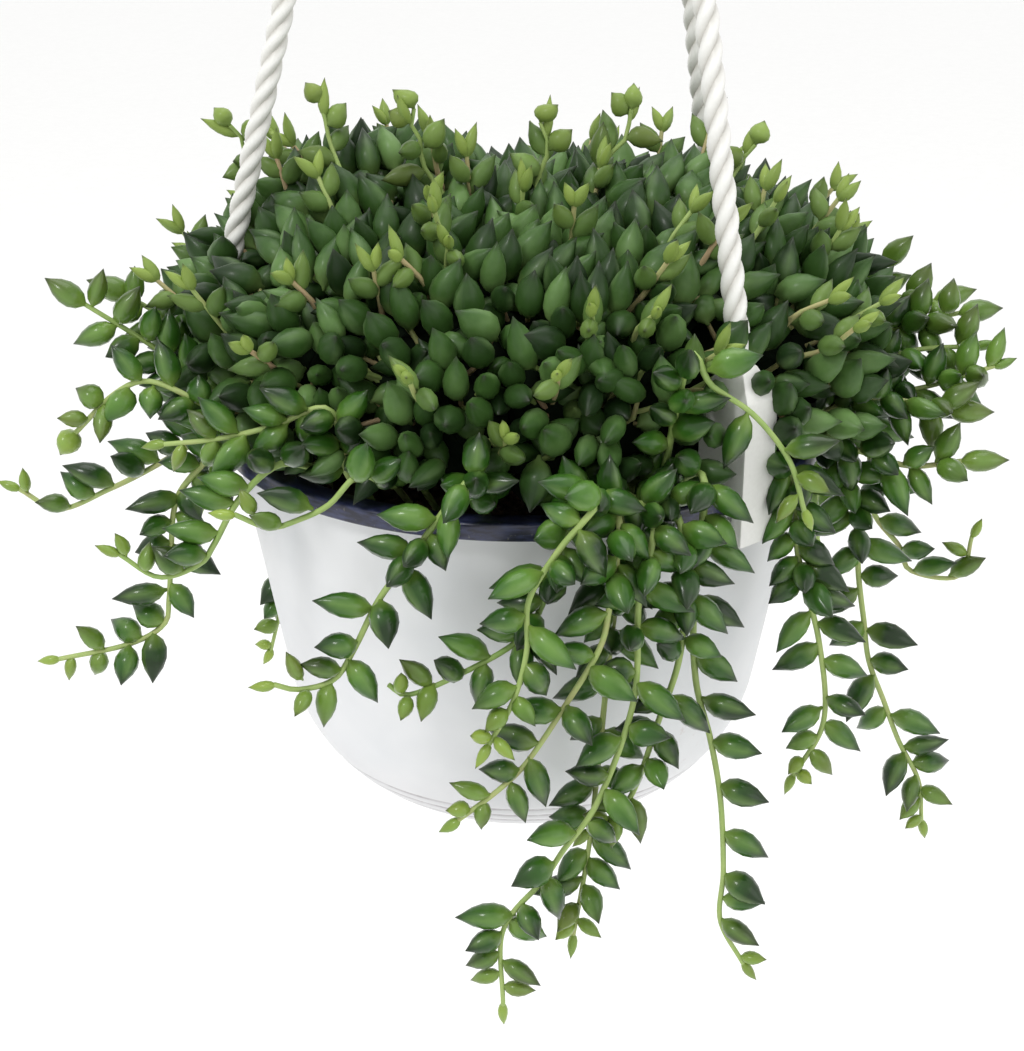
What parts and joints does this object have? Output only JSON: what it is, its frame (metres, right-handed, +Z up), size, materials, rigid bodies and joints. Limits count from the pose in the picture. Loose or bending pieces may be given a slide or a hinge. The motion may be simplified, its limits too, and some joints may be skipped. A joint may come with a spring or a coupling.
{
  "type": "potted hanging succulent",
  "caption": "Trailing succulent with pointed, drop-shaped leaves, in a dark nursery pot inside a round white hanging pot with clip-on moulded hanger arms and a hook.",
  "frame": {"origin": "the point inside the hook's bend where the whole object hangs", "axes": "+Z up, along the hanger; -Y is the front, the side with the most trailing strands; +X is to the right seen from the front. The pot's own axis is 9 mm towards -X from the hook."},
  "size_m": [0.2949, 0.2379, 0.5806],
  "materials": {
    "white_moulded_plastic": "satin",
    "dark_nursery_plastic": "satin",
    "white_hanger_plastic": "satin",
    "potting_soil": "matte",
    "crown_green": "satin",
    "strand_green": "satin"
  },
  "bodies": {
    "root": {"outer_pot": "white_moulded_plastic", "nursery_pot": "dark_nursery_plastic", "potting_soil": "potting_soil", "hanger_hook": "white_hanger_plastic", "hanger_arm_left": "white_hanger_plastic", "hanger_arm_front_right": "white_hanger_plastic", "hanger_arm_back_right": "white_hanger_plastic", "crown_top": "crown_green", "crown_upper_1": "crown_green", "crown_upper_2": "crown_green", "crown_upper_3": "crown_green", "crown_upper_4": "crown_green", "crown_upper_5": "crown_green", "crown_outer_1": "crown_green", "crown_outer_2": "crown_green", "crown_outer_3": "crown_green", "crown_outer_4": "crown_green", "crown_outer_5": "crown_green", "crown_outer_6": "crown_green", "crown_outer_7": "crown_green", "crown_outer_8": "crown_green", "strand_left_1": "strand_green", "strand_left_2": "strand_green", "strand_left_3": "strand_green", "strand_left_4": "strand_green", "strand_left_5": "strand_green", "strand_left_6": "strand_green", "strand_left_7": "strand_green", "strand_left_8": "strand_green", "strand_front_1": "strand_green", "strand_front_2": "strand_green", "strand_front_3": "strand_green", "strand_front_4": "strand_green", "strand_front_5": "strand_green", "strand_front_6": "strand_green", "strand_front_7": "strand_green", "strand_front_8": "strand_green", "strand_front_9": "strand_green", "strand_right_1": "strand_green", "strand_right_2": "strand_green", "strand_right_3": "strand_green", "strand_right_4": "strand_green", "strand_right_5": "strand_green", "strand_right_6": "strand_green", "strand_right_7": "strand_green", "strand_right_8": "strand_green", "strand_right_9": "strand_green", "strand_right_10": "strand_green", "strand_back_1": "strand_green", "strand_back_2": "strand_green", "strand_back_3": "strand_green", "strand_back_4": "strand_green", "strand_back_5": "strand_green", "strand_back_6": "strand_green", "strand_back_7": "strand_green"}
  },
  "joints": []
}
